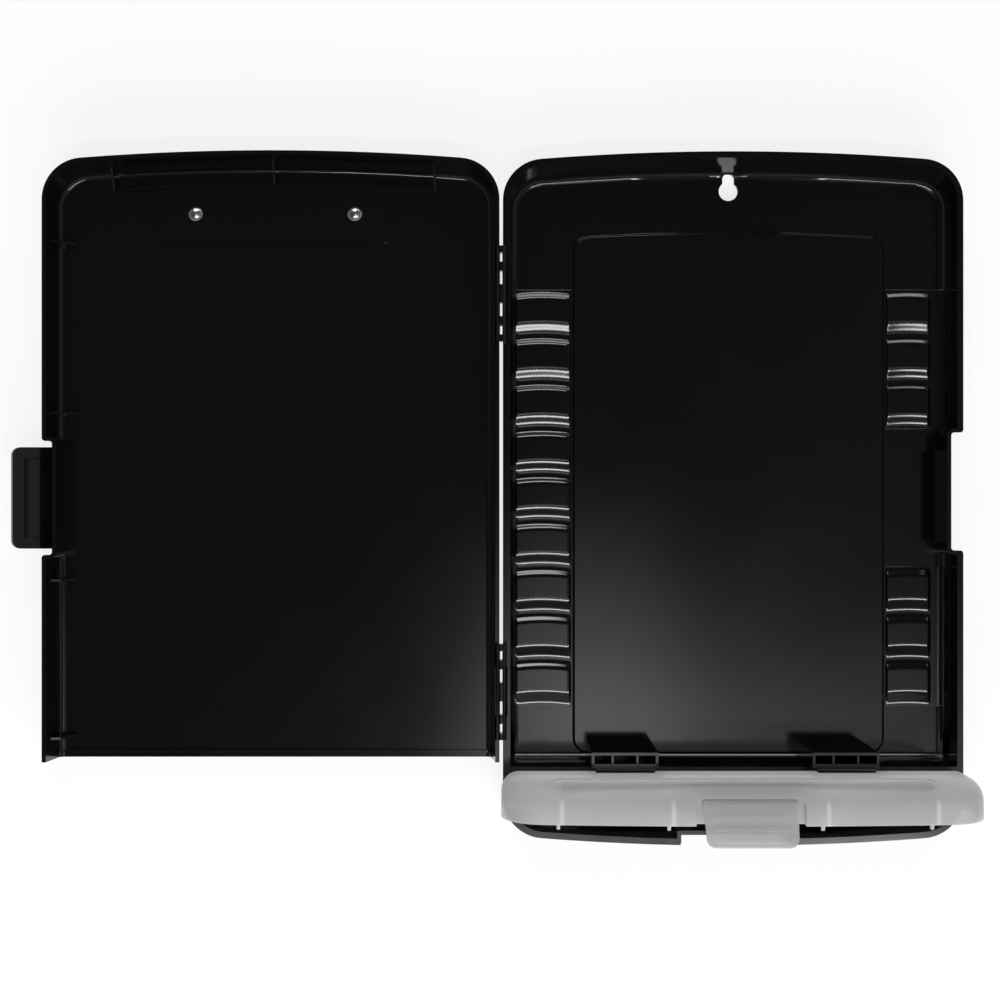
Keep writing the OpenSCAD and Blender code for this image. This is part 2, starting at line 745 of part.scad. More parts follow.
// Sloping gussets along the free side, clear of the latch's recess
module side_gussets() {
    x1 = cover_reach - wall_t / 2 - outer_draft;
    for (y = gusset_places) {
        along_y(y - rib_t / 2, y + rib_t / 2)
            polygon([[x1, rim_gap + gusset_low], [x1, cover_z - outer_fillet],
                     [x1 - 3, cover_z - floor_t / 2], [x1 - gusset_l, cover_z - floor_t / 2],
                     [x1 - gusset_l, cover_z - floor_t - 0.6],
                     [x1 - gusset_flat, rim_gap + gusset_low + 1]]);
    }
}

module open_end_rib() {
    x0 = side_gap + wall_t + cover_draft + cover_fillet - 1;
    translate([x0, -cover_end + 2.4, cover_z - floor_t - 1])
        cube([cover_reach - side_gap - 2 * (x0 - side_gap), 1.4, 1 + floor_t / 2]);
}

// Small ring bosses under the pad, beside the rivets
module ring_bosses(r, h) {
    for (s = [-1, 1]) {
        translate([cover_mid + s * boss_at, pad_at + boss_y, pad_floor_z - floor_t - boss_h])
            cylinder(r = r, h = h);
    }
}

module rivet_holes() {
    for (s = [-1, 1]) {
        translate([cover_mid + s * rivet_span / 2, pad_at, pad_floor_z - floor_t - over])
            cylinder(r = rivet_r + 0.1, h = floor_t + 2 * over);
    }
    translate([0, 0, -over]) ring_bosses(boss_hole_r, boss_h + over + 0.4);
}

module cover_shell() {
    color(gloss_black) cover_opened() union() {
        difference() {
            union() {
                difference() {
                    cover_outside();
                    cover_hollow();
                }
                pad_boss();
                ring_bosses(boss_r, boss_h + floor_t / 2);
                end_rib();
                side_gussets();
                open_end_rib();
            }
            cover_recess(0);
            pad_recess();
            rivet_holes();
            translate([cover_side_wall_x + root_out, 0, rim_gap + cover_latch_root])
                along_y(cover_latch_y - cover_latch_w / 2 - 0.4, cover_latch_y + cover_latch_w / 2 + 0.4)
                circle(root_r + root_gap);
            hinge_groups() for (s = [-1, 1]) {
                a = s * mid_knuckle_l / 2;
                b = s * (outer_at + outer_knuckle_l + knuckle_relief);
                along_y(min(a, b), max(a, b)) circle(knuckle_r + knuckle_relief);
            }
        }
        hinge_groups() middle_knuckle();
    }
}

// ---------- latches ----------

// A latch tab in its closed place, hanging from the root's axis at the origin, its width
// along y and its outer face toward +x; the tip is narrower by the taper
module latch_tab(w, l, bead_l, bead_drop, taper) {
    root = tab_out - 0.1;
    along_y(-w / 2, w / 2) union() {
        circle(root_r);
        polygon([[root_r * 0.35, -root_r * 0.9], [root + 0.2, -2 * root_r], [root + 0.2, 0],
                 [root_r * 0.6, 0]]);
    }
    translate([tab_out, 0, 0]) rotate([0, 90, 0]) linear_extrude(tab_t)
        tab_outline(w, l, taper, tab_corner_r);
    translate([tab_out, 0, -bead_drop]) along_y(-bead_l / 2, bead_l / 2) circle(bead_r);
}

// Outline of a tab, its length along +x and its tip's corners rounded
module tab_outline(w, l, taper, r) {
    hull() {
        translate([0, -w / 2]) square([1, w]);
        for (s = [-1, 1]) translate([l - r, s * (w / 2 - taper - r)]) circle(r, $fn = 32);
    }
}

// Sunk field that leaves a frame round the tab's outer face
module tab_field(w, l, taper) {
    translate([tab_out + tab_t - frame_depth, 0, -frame_w]) rotate([0, 90, 0])
        linear_extrude(frame_depth + over)
        tab_outline(w - 2 * frame_w, l - 2 * frame_w, taper, tab_corner_r - 1.2);
}

module cover_latch() {
    color(gloss_black) cover_opened()
        translate([cover_side_wall_x + root_out, cover_latch_y, rim_gap + cover_latch_root])
        rotate([0, -cover_latch_open, 0]) difference() {
            union() {
                latch_tab(cover_latch_w, cover_latch_l, cover_latch_w - bead_l_less,
                          cover_latch_l - bead_from_tip, 0.4);
                for (s = [-1, 1]) {
                    translate([tab_out, s * (cover_latch_w - bead_l_less) / 2,
                               bead_from_tip - cover_latch_l])
                        cylinder(r = frame_bead_r, h = frame_bead_l);
                }
            }
            tab_field(cover_latch_w, cover_latch_l, 0.4);
        }
}

module pen_flap_latch() {
    color(frosted) flap_opened()
        translate([tray_mid, flap_wall_y - root_out, rim_gap + flap_latch_root])
        rotate([-flap_latch_open, 0, 0]) rotate([0, 0, -90]) {
            latch_tab(flap_latch_w, flap_latch_l, flap_latch_w - bead_l_less,
                      rim_gap + flap_latch_root - flap_bead_z, 0.9);
            for (i = [0:grip_count - 1]) {
                translate([tab_out + tab_t - grip_h / 2, 0, grip_first + i * grip_step - flap_latch_l])
                    rotate([0, 90, 0]) linear_extrude(1.5 * grip_h, scale = [0.6, 0.975], slices = 1)
                    rounded_rect(grip_w, grip_l, grip_w / 2 - 0.01);
            }
        }
}

// ---------- pen flap ----------

// The flap's shape, with its top, sides and front drawn in by inset, from z0 up; its near side
// stands over the long hinge's axis
module flap_body(inset, z0, back) {
    r = flap_front_r - inset;
    top = cover_z - inset;
    loft(concat(
        [at_z(pen_plan(inset, inset, back, 0, flap_reach), z0)],
        [for (i = [0:crown_steps])
            let (a = 90 * i / crown_steps, z = top - r * (1 - sin(a)))
            at_z(pen_plan(inset + crown_in(z, flap_side_r - inset, top), inset + r * (1 - cos(a)),
                          back, 0, flap_reach), z)]));
}

module flap_hollow() {
    difference() {
        flap_body(flap_t, rim_gap - over, flap_back + flap_t);
        flap_recess(flap_t);
        for (s = [-1, 1]) translate([block_mid + s * block_at, 0, 0]) notch(cheek_t);
    }
}

// Cutter for the recess round the flap's latch, under a rounded arch; grown, its wall
module flap_recess(grow) {
    w = flap_recess_w / 2 + grow;
    r = flap_recess_r + grow;
    top = flap_recess_z + grow;
    translate([tray_mid, 0, 0]) along_y(flap_wall_y - half_l + grow, flap_wall_y + grow)
        polygon(concat(
            [[-w, -over], [w, -over]],
            [for (i = [0:6]) [w - r, top - r] + r * [cos(15 * i), sin(15 * i)]],
            [for (i = [0:6]) [r - w, top - r] + r * [-sin(15 * i), cos(15 * i)]]));
}

// Opening for a hinge barrel in the flap's back edge; grown, it is the wall round it
module notch(grow) {
    w = notch_w + 2 * grow;
    translate([-w / 2, pivot_y - notch_front - grow, notch_floor_z - grow]) cube([w, 20, 20]);
}

// Cutter that rounds the flap's back edge about a line near the pivot
module back_edge() {
    r = pivot_down;
    c = [-(flap_back + r), cover_z - r];
    along_x(-over, reach + over)
        polygon(concat([for (i = [0:8]) c + r * [cos(90 * i / 8), sin(90 * i / 8)]],
                       [[c.x, cover_z + over], [-flap_back + over, cover_z + over],
                        [-flap_back + over, c.y]]));
}

module grip_band() {
    difference() {
        translate([block_mid, -(flap_back + band_at), cover_z - flap_front_r / 2])
            linear_extrude(flap_front_r) rounded_rect(band_l, band_w, band_w / 2 - 0.01);
        flap_body(band_depth, rim_gap, flap_back - over);
    }
}

// Pointed ribs inside the front of the flap that guide it into the tray
module locator_ribs() {
    for (s = [-1, 1]) for (a = locator_places) {
        off = s * a - block_shift;
        drop = arch_r - sqrt(arch_r * arch_r - off * off);
        skirt = -half_l + drop + flap_t / 2;
        wall = -half_l + rim_in + drop;
        along_x(tray_mid + off - locator_t / 2, tray_mid + off + locator_t / 2)
            polygon([[skirt, rim_gap + 9], [skirt, rim_gap], [wall + 0.6, rim_gap],
                     [wall + 3, rim_gap - 3.6], [wall + 4.2, rim_gap - 3.2], [wall + 4.8, rim_gap + 1],
                     [wall + 2.6, rim_gap + 9]]);
    }
}

module pen_flap() {
    color(frosted) flap_opened() {
        difference() {
            union() {
                difference() {
                    flap_body(0, rim_gap, flap_back);
                    flap_hollow();
                }
                locator_ribs();
            }
            flap_recess(0);
            back_edge();
            grip_band();
            for (s = [-1, 1]) translate([block_mid + s * block_at, 0, 0]) notch(0);
            translate([0, flap_wall_y - root_out, rim_gap + flap_latch_root])
                along_x(tray_mid - flap_latch_w / 2 - 0.4, tray_mid + flap_latch_w / 2 + 0.4)
                circle(root_r + root_gap);
        }
        for (s = [-1, 1]) for (e = [-1, 1]) {
            face = block_mid + s * block_at + e * notch_w / 2;
            end = face - e * (notch_gap + pivot_l);
            along_x(min(face + e * 0.5, end), max(face + e * 0.5, end))
                translate([pivot_y, pivot_z]) circle(pivot_r);
        }
    }
}

// ---------- clip ----------

module clip_base_plate() {
    color(nickel) cover_opened() translate([cover_mid, 0, 0]) difference() {
        union() {
            translate([0, pad_at, pad_floor_z]) linear_extrude(clip_t) rounded_rect(clip_w, plate_l, 2);
            for (s = [-1, 1]) {
                along_x(s > 0 ? clip_w / 2 - ear_t : -clip_w / 2, s > 0 ? clip_w / 2 : -clip_w / 2 + ear_t)
                    union() {
                        translate([pin_y, pin_z]) circle(ear_r);
                        translate([pin_y - ear_r, pad_floor_z + clip_t / 2])
                            square([2 * ear_r, pin_z - pad_floor_z - clip_t / 2]);
                    }
            }
        }
        along_x(-clip_w, clip_w) translate([pin_y, pin_z]) circle(pin_r + run_gap);
        for (s = [-1, 1]) translate([s * rivet_span / 2, pad_at, pad_floor_z - over])
            cylinder(r = rivet_r + 0.1, h = clip_t + 2 * over);
    }
}

// Side view of the jaw's sheet: lever behind the pin, curl over it, and the jaw in front
module jaw_sheet() {
    top = pin_z + curl_r;
    lever_top = clip_top_z;
    polygon([[pin_y + lever_l, lever_top], [pin_y + lever_l, lever_top - clip_t],
             [pin_y + 1.2, top - clip_t - 0.3], [pin_y - 1.2, top - clip_t - 0.3],
             [pin_y - jaw_reach + 5, cover_z + lip_gap + 1.4], [pin_y - jaw_reach + 3.6, cover_z + lip_gap],
             [pin_y - jaw_reach, cover_z + lip_gap], [pin_y - jaw_reach, cover_z + lip_gap + clip_t],
             [pin_y - jaw_reach + 3.2, cover_z + lip_gap + clip_t],
             [pin_y - jaw_reach + 4.6, cover_z + lip_gap + 1.4 + clip_t],
             [pin_y - 1.6, top], [pin_y + 1.6, top], [pin_y + lever_l - 1, lever_top]]);
}

// Turned-down side of the jaw, deepest at the pin
module jaw_side() {
    polygon([[pin_y - jaw_reach + 6, cover_z + lip_gap + 1.6], [pin_y - 2, pin_z - 1.6],
             [pin_y + 1.5, pin_z - 1.6], [pin_y + lever_l - 3, clip_top_z - 1.4],
             [pin_y + lever_l - 3, clip_top_z - 0.4],
             [pin_y + 1.6, pin_z + curl_r - 0.2], [pin_y - 1.6, pin_z + curl_r - 0.2]]);
}

module clip_jaw() {
    color(nickel) cover_opened() translate([cover_mid, 0, 0]) difference() {
        union() {
            along_x(-jaw_w / 2, jaw_w / 2) jaw_sheet();
            for (s = [-1, 1]) along_x(s > 0 ? jaw_w / 2 - clip_t : -jaw_w / 2,
                                      s > 0 ? jaw_w / 2 : -jaw_w / 2 + clip_t) jaw_side();
            along_x(-jaw_w / 2, jaw_w / 2) translate([pin_y, pin_z]) circle(curl_r);
        }
        along_x(-clip_w, clip_w) translate([pin_y, pin_z]) circle(pin_r + run_gap);
        for (s = [-1, 1]) along_x(s * spring_at - coil_l / 2 - 0.6, s * spring_at + coil_l / 2 + 0.6)
            translate([pin_y, pin_z]) circle(coil_r + wire_r + 0.25);
    }
}

module clip_pin() {
    color(nickel) cover_opened() translate([cover_mid, 0, 0])
        along_x(-clip_w / 2 - 0.8, clip_w / 2 + 0.8) translate([pin_y, pin_z]) circle(pin_r);
}

// Torsion spring round the pin: a coil with one leg on the plate and one under the lever
function spring_path() =
    let (a0 = 270, n = coil_turns * coil_steps)
    concat(
        [[-coil_l / 2 + wire_r, -11, -coil_r], [-coil_l / 2 + wire_r, -5, -coil_r]],
        [for (i = [0:n - 14]) let (a = a0 + 360 * i / coil_steps)
            [-coil_l / 2 + wire_r + coil_pitch * i / coil_steps, coil_r * cos(a), coil_r * sin(a)]]);

module clip_spring() {
    path = spring_path();
    n = len(path);
    function dir(i) = let (d = path[min(i + 1, n - 1)] - path[max(i - 1, 0)]) d / norm(d);
    function side(i) = let (d = dir(i), u = cross(d, [1, 0, 0])) u / norm(u);
    points = [for (i = [0:n - 1]) let (u = side(i), v = cross(dir(i), u))
        for (k = [0:wire_sides - 1]) let (a = 360 * k / wire_sides)
            path[i] + wire_r * (u * cos(a) + v * sin(a))];
    sides = [for (i = [0:n - 2]) for (k = [0:wire_sides - 1]) let (m = (k + 1) % wire_sides)
        [i * wire_sides + k, i * wire_sides + m, (i + 1) * wire_sides + m, (i + 1) * wire_sides + k]];
    ends = [[for (k = [wire_sides - 1:-1:0]) k], [for (k = [0:wire_sides - 1]) (n - 1) * wire_sides + k]];
    translate([0, pin_y, pin_z]) polyhedron(points = points, faces = concat(sides, ends), convexity = 10);
}

module clip_spring_left() {
    color(nickel) cover_opened() translate([cover_mid + spring_at, 0, 0]) clip_spring();
}

module clip_spring_right() {
    color(nickel) cover_opened() translate([cover_mid - spring_at, 0, 0]) clip_spring();
}

// Rivet through the pad and the base plate, its domed head inside the cover
module rivet() {
    dome_h = 1.5;
    dome_r = (rivet_head_r * rivet_head_r + dome_h * dome_h) / (2 * dome_h);
    inside_z = pad_floor_z - floor_t;
    translate([0, pad_at, inside_z]) cylinder(r = rivet_r, h = floor_t + clip_t);
    translate([0, pad_at, plate_z]) cylinder(r = rivet_r * 1.5, h = 0.9);
    translate([0, pad_at, inside_z]) intersection() {
        translate([0, 0, dome_r - dome_h]) sphere(dome_r, $fn = 96);
        translate([0, 0, -dome_h - over]) cylinder(r = rivet_head_r + over, h = dome_h + over);
    }
}

module clip_rivet_left() {
    color(nickel) cover_opened() translate([cover_mid + rivet_span / 2, 0, 0]) rivet();
}

module clip_rivet_right() {
    color(nickel) cover_opened() translate([cover_mid - rivet_span / 2, 0, 0]) rivet();
}

tray_shell();
cover_shell();
cover_latch();
pen_flap();
pen_flap_latch();
clip_base_plate();
clip_jaw();
clip_pin();
clip_spring_left();
clip_spring_right();
clip_rivet_left();
clip_rivet_right();
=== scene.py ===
# %% [markdown]
# # Storage clipboard box
# The box lies open on a pale floor: a hollow cover on the left, a deep tray on the right, and a
# frosted flap that stands up over the pen compartment. The solids come from the CAD frame, at
# their real size, and this lesson gives them moulded edges, finishes and light.

# %% Load the frame
import json
import math

import bmesh
import bpy
import numpy as np
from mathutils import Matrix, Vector


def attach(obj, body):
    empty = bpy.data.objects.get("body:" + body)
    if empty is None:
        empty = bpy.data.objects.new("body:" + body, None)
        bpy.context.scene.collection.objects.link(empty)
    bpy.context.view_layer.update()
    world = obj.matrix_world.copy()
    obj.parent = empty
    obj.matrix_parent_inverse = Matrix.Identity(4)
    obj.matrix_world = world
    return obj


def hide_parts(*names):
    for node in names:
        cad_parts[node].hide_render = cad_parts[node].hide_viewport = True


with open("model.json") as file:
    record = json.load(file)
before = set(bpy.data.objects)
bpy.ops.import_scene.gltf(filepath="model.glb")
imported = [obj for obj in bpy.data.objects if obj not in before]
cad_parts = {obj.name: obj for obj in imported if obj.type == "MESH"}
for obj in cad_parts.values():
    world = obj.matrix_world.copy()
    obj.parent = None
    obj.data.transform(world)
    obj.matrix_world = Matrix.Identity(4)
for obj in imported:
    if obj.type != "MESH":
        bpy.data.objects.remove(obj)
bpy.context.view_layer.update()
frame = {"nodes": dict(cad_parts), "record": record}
MM = 0.001

# %% [markdown]
# ## Camera
# The box is seen from straight above, from 0.8 m over its rim. A camera that isn't turned
# already looks down with +Y up in the picture, so it only needs its place and its lens. Its
# place is worked out from the long hinge, which lies close to the middle of the open box.

# %% Camera
JOINTS = {j["name"]: j for j in frame["record"]["behaviour"]["joints"]}
HINGE_X, _, HINGE_Z = JOINTS["cover_hinge"]["pos_m"]
RIM_DROP = 0.2 * MM
CAMERA_UP = 800 * MM
CAMERA_SIDE = -0.635 * MM
CAMERA_AHEAD = -0.8 * MM
LENS = 54.7
SENSOR = 36

camera_data = bpy.data.cameras.new("overhead_camera")
camera_data.lens = LENS
camera_data.sensor_width = SENSOR
camera = bpy.data.objects.new("overhead_camera", camera_data)
camera.location = (HINGE_X + CAMERA_SIDE, CAMERA_AHEAD, HINGE_Z - RIM_DROP + CAMERA_UP)
bpy.context.scene.collection.objects.link(camera)
bpy.context.scene.camera = camera
print("camera stands at", [round(c, 4) for c in camera.location])

# %% [markdown]
# ## Floor
# A product stands on a white sweep. A material is a small network of nodes, so three helpers
# come first: one makes an empty material, one adds a node together with all its inputs, and one
# does a sum. The floor is a pale matt plane that takes the shadow. A glow seen only by the
# camera, mirrors and clear things lifts it to white where no shadow falls, and puts no extra
# light on the box.

# %% Helpers for nodes
def new_material(name):
    """An empty node material, and its node tree."""
    material = bpy.data.materials.new(name)
    material.use_nodes = True
    tree = material.node_tree
    tree.nodes.clear()
    return material, tree


def add_node(tree, kind, inputs=None, **settings):
    """Adds one node; inputs gives a socket a value, or joins it to another node's output."""
    node = tree.nodes.new(kind)
    for key, value in settings.items():
        setattr(node, key, value)
    for key, value in (inputs or {}).items():
        if isinstance(value, bpy.types.NodeSocket):
            tree.links.new(value, node.inputs[key])
        else:
            node.inputs[key].default_value = value
    return node


def math_node(tree, operation, first, second):
    """The result of one sum on two numbers."""
    return add_node(tree, "ShaderNodeMath", {0: first, 1: second}, operation=operation).outputs[0]


print("helpers:", [helper.__name__ for helper in (new_material, add_node, math_node)])

# %% Floor
FLOOR_WHITE = (0.94, 0.94, 0.94, 1)
FLOOR_LIFT = 0.8
FLOOR_HALF = 4.0
WHITE = (1, 1, 1, 1)


def ray_mask(tree):
    """1 for a ray that the camera, a mirror or a clear thing sends, and 0 for the rest."""
    path = add_node(tree, "ShaderNodeLightPath").outputs
    seen = math_node(tree, "MAXIMUM", path["Is Camera Ray"], path["Is Glossy Ray"])
    return math_node(tree, "MAXIMUM", seen, path["Is Transmission Ray"])


def white_sweep(name):
    """Matt white mixed with a glow; the glow is there only for the rays of the mask."""
    material, tree = new_material(name)
    matt = add_node(tree, "ShaderNodeBsdfDiffuse", {"Color": FLOOR_WHITE})
    glow = add_node(tree, "ShaderNodeEmission", {"Color": WHITE, "Strength": ray_mask(tree)})
    lift = add_node(tree, "ShaderNodeMixShader",
                    {0: FLOOR_LIFT, 1: matt.outputs[0], 2: glow.outputs[0]})
    add_node(tree, "ShaderNodeOutputMaterial", {"Surface": lift.outputs[0]})
    return material


floor_mesh = bpy.data.meshes.new("floor")
floor_corners = [(x * FLOOR_HALF, y * FLOOR_HALF, 0) for x, y in ((-1, -1), (1, -1), (1, 1), (-1, 1))]
floor_mesh.from_pydata(floor_corners, [], [(0, 1, 2, 3)])
floor_mesh.materials.append(white_sweep("white_sweep"))
floor = bpy.data.objects.new("floor", floor_mesh)
bpy.context.scene.collection.objects.link(floor)
print("floor is", 2 * FLOOR_HALF, "m wide")

# %% [markdown]
# ## Lamps
# Glossy black shows hardly anything but what it mirrors, so each lamp is placed for the slopes
# that mirror it. Two narrow lamps high up draw the thin bright lines: slopes that face forward
# mirror the front one, and slopes that face back mirror the other. A wide fill in front lights
# the frosted flap and the floor. Mirrors don't see the fill, because it would turn upright
# faces grey: they see a weaker box in the same place, and another at the back.

# %% Lamps
def soft_box(name, place, aim, width, height, watts):
    """An area lamp at place, turned to face aim."""
    data = bpy.data.lights.new(name, "AREA")
    data.shape = "RECTANGLE"
    data.size = width
    data.size_y = height
    data.energy = watts
    lamp = bpy.data.objects.new(name, data)
    lamp.location = place
    lamp.rotation_euler = (Vector(aim) - Vector(place)).to_track_quat("-Z", "Y").to_euler()
    bpy.context.scene.collection.objects.link(lamp)
    return lamp


FRONT_BOX = {"place": (0.1, -1.5, 0.8), "aim": (0, 0, 0), "width": 2.2, "height": 0.9}
soft_box("ceiling_front", place=(0.2, -0.72, 1.7), aim=(0.12, 0, 0), width=1.1, height=0.16, watts=9)
soft_box("ceiling_back", place=(-0.2, 1.45, 1.5), aim=(0.05, 0, 0), width=1.0, height=0.25, watts=6.5)
fill = soft_box("fill_front", watts=36, **FRONT_BOX)
fill.visible_glossy = False
soft_box("box_front", watts=8, **FRONT_BOX)
soft_box("box_back", place=(0.1, 1.6, 0.75), aim=(0, 0, 0), width=2.0, height=0.5, watts=12)

# %% [markdown]
# ## Sky
# The world is what the plastic mirrors where there is no lamp. It is a dim dome, a little
# brighter toward the front right and toward the horizon, so that level faces stay nearly
# black. Two soft patches of light, overhead and a little to the front, show as a glow in the
# level middle of the tray. They stop short of the directions that the tray's front rim
# mirrors, so that the rim stays black. The camera itself sees plain white. A direction is three
# numbers that make a length of 1, so a height of 0.2 is near the horizon, and 1 is overhead.

# %% Dome
DOME_DIM, DOME_BRIGHT = 0.05, 0.12
DIM_FROM, BRIGHT_FROM = -0.05, 0.5
FRONT_RIGHT = (1, -1, 0)
HORIZON_LIGHT = 0.2
HORIZON_TOP, HORIZON_LOW = 0.75, 0.2


def smooth_step(tree, value, start, end, low=0.0, high=1.0):
    """low where value is at start, high at end, with a smooth step between."""
    return add_node(tree, "ShaderNodeMapRange",
                    {"Value": value, "From Min": start, "From Max": end, "To Min": low, "To Max": high},
                    interpolation_type="SMOOTHSTEP").outputs[0]


def dim_dome(tree, toward, height):
    """Light by direction: it grows toward the front right, and grows again toward the horizon."""
    forward = add_node(tree, "ShaderNodeVectorMath", {0: toward, 1: FRONT_RIGHT}, operation="DOT_PRODUCT")
    overhead = smooth_step(tree, forward.outputs["Value"], DIM_FROM, BRIGHT_FROM, DOME_DIM, DOME_BRIGHT)
    horizon = smooth_step(tree, height, HORIZON_TOP, HORIZON_LOW, 0.0, HORIZON_LIGHT)
    return math_node(tree, "ADD", overhead, horizon)


print("dome from", DOME_DIM, "to", DOME_BRIGHT, "and up to", HORIZON_LIGHT, "more at the horizon")

# %% Patches and world
LEFT_PATCH = {"centre": (0.055, -0.24), "squeeze": 2.2, "reach": 0.27, "strength": 2.4}
RIGHT_PATCH = {"centre": (0.2, -0.26), "squeeze": 0.7, "reach": 0.23, "strength": 1.1}
PATCH_GONE, PATCH_FULL = -0.225, -0.175


def soft_patch(tree, toward, centre, squeeze, reach, strength):
    """Light that fades out round a direction; squeeze above 1 makes the patch narrower in x."""
    shaped = add_node(tree, "ShaderNodeVectorMath", {0: toward, 1: (squeeze, 1, 0)}, operation="MULTIPLY")
    middle = (centre[0] * squeeze, centre[1], 0)
    away = add_node(tree, "ShaderNodeVectorMath", {0: shaped.outputs[0], 1: middle}, operation="DISTANCE")
    return smooth_step(tree, away.outputs["Value"], reach, 0.0, 0.0, strength)


def studio_world(name):
    """A white background for the camera, and dome plus patches for every other ray."""
    world = bpy.data.worlds.new(name)
    world.use_nodes = True
    tree = world.node_tree
    tree.nodes.clear()
    toward = add_node(tree, "ShaderNodeTexCoord").outputs["Generated"]
    part = add_node(tree, "ShaderNodeSeparateXYZ", {0: toward}).outputs
    patches = [soft_patch(tree, toward, **patch) for patch in (LEFT_PATCH, RIGHT_PATCH)]
    stop = smooth_step(tree, part["Y"], PATCH_GONE, PATCH_FULL)
    glow = math_node(tree, "MULTIPLY", math_node(tree, "ADD", *patches), stop)
    strength = math_node(tree, "ADD", dim_dome(tree, toward, part["Z"]), glow)
    room = add_node(tree, "ShaderNodeBackground", {"Color": WHITE, "Strength": strength})
    white = add_node(tree, "ShaderNodeBackground", {"Color": WHITE, "Strength": 1.0})
    seen = add_node(tree, "ShaderNodeLightPath").outputs["Is Camera Ray"]
    both = add_node(tree, "ShaderNodeMixShader", {0: seen, 1: room.outputs[0], 2: white.outputs[0]})
    add_node(tree, "ShaderNodeOutputWorld", {"Surface": both.outputs[0]})
    return world


bpy.context.scene.world = studio_world("studio")
bpy.context.scene.view_settings.view_transform = "Standard"
print("world:", bpy.context.scene.world.name)

# %% [markdown]
# ## Black moulded plastic
# Both shells come out of a polished mould. The plastic isn't quite flat: it sinks and waves by
# a few hundredths of a millimetre, so what it mirrors swims a little. Handling leaves faint
# patches where it is duller. Soft noise seldom leaves the range from 0.3 to 0.7, so that range is
# what spreads over the two roughnesses.

# %% Black plastic
BLACK = (0.002, 0.002, 0.0022, 1)
BLACK_ROUGH = (0.09, 0.15)
PATCHES_PER_M = 9.0
NOISE_LOW, NOISE_HIGH = 0.3, 0.7
WAVES_PER_M, WAVE_DEPTH = 14.0, 0.06 * MM


def wavy_bump(tree, coords, per_m, depth):
    """A bump from soft noise: per_m sets how close its swells lie, depth how high they are."""
    noise = add_node(tree, "ShaderNodeTexNoise",
                     {"Vector": coords, "Scale": per_m, "Detail": 2.0, "Roughness": 0.5})
    return add_node(tree, "ShaderNodeBump",
                    {"Height": noise.outputs["Fac"], "Strength": 1.0, "Distance": depth}).outputs[0]


def moulded_black(name):
    """Glossy black plastic whose gloss drifts between two roughnesses."""
    material, tree = new_material(name)
    coords = add_node(tree, "ShaderNodeTexCoord").outputs["Object"]
    patches = add_node(tree, "ShaderNodeTexNoise",
                       {"Vector": coords, "Scale": PATCHES_PER_M, "Detail": 5.0, "Roughness": 0.6})
    rough = add_node(tree, "ShaderNodeMapRange",
                     {"Value": patches.outputs["Fac"], "From Min": NOISE_LOW, "From Max": NOISE_HIGH,
                      "To Min": BLACK_ROUGH[0], "To Max": BLACK_ROUGH[1]})
    skin = add_node(tree, "ShaderNodeBsdfPrincipled",
                    {"Base Color": BLACK, "Roughness": rough.outputs[0], "IOR": 1.59,
                     "Normal": wavy_bump(tree, coords, WAVES_PER_M, WAVE_DEPTH)})
    add_node(tree, "ShaderNodeOutputMaterial", {"Surface": skin.outputs[0]})
    return material


black_plastic = moulded_black("black_plastic")
print("made", black_plastic.name)

# %% [markdown]
# ## Painted glow at the ribs and painted shade in the band
# The flap is natural polypropylene, and light passes into it. Where a pointed rib stands behind the lip,
# a pale bar of painted light stands in for the light that the thicker plastic scatters. The floor of the
# sunk grip band is thinner than the rest, and painted shade darkens it, standing in for the shade that
# falls into the recess. Both are masks worked out from Object coordinates, so they stay on the flap when
# it turns.

# %% Ribs and band
FLAP_MID, _, FLAP_AXIS_Z = JOINTS["pen_flap_hinge"]["pos_m"]
RIB_PLACES = (38 * MM, 92.6 * MM)
RIB_INNER, RIB_OUTER = 0.5 * MM, 1.7 * MM
LIP_Y = -147 * MM
LIP_FADE, FACE_FADE = 3 * MM, 1 * MM
BAND_Z = FLAP_AXIS_Z + 26 * MM
BAND_HALF, BAND_BLUR = 5 * MM, 0.6 * MM
BAND_END, BAND_END_FADE = 94 * MM, 3 * MM


def distance_to(tree, value, place):
    """How far value is from place, on either side."""
    return math_node(tree, "ABSOLUTE", math_node(tree, "SUBTRACT", value, place), 0.0)


def rib_glow_and_band_shade(tree, coords):
    """Two masks: 1 near a rib's line in front of LIP_Y, where painted glow goes, and 1 near the band's
    line behind it, where painted shade goes.
    """
    part = add_node(tree, "ShaderNodeSeparateXYZ", {0: coords}).outputs
    from_mid = distance_to(tree, part["X"], FLAP_MID)
    gaps = [distance_to(tree, from_mid, place) for place in RIB_PLACES]
    near_rib = smooth_step(tree, math_node(tree, "MINIMUM", *gaps), RIB_OUTER, RIB_INNER)
    on_lip = smooth_step(tree, part["Y"], LIP_Y, LIP_Y - LIP_FADE)
    from_band = distance_to(tree, part["Z"], BAND_Z)
    across = smooth_step(tree, from_band, BAND_HALF + BAND_BLUR, BAND_HALF)
    along = smooth_step(tree, from_mid, BAND_END, BAND_END - BAND_END_FADE)
    on_face = smooth_step(tree, part["Y"], LIP_Y, LIP_Y + FACE_FADE)
    band = math_node(tree, "MULTIPLY", math_node(tree, "MULTIPLY", across, along), on_face)
    return math_node(tree, "MULTIPLY", near_rib, on_lip), band


print("ribs at x =", [round(FLAP_MID + side * at, 4) for at in RIB_PLACES for side in (-1, 1)])

# %% [markdown]
# ## Frosted plastic
# The skin of the flap is milky and faintly rough. Part of the light is scattered through it,
# so the side away from the lamps isn't dark, and part goes straight on, so what lies behind
# shows faintly. Mixing three plain shaders does this for a thin wall, with no glass to trace.

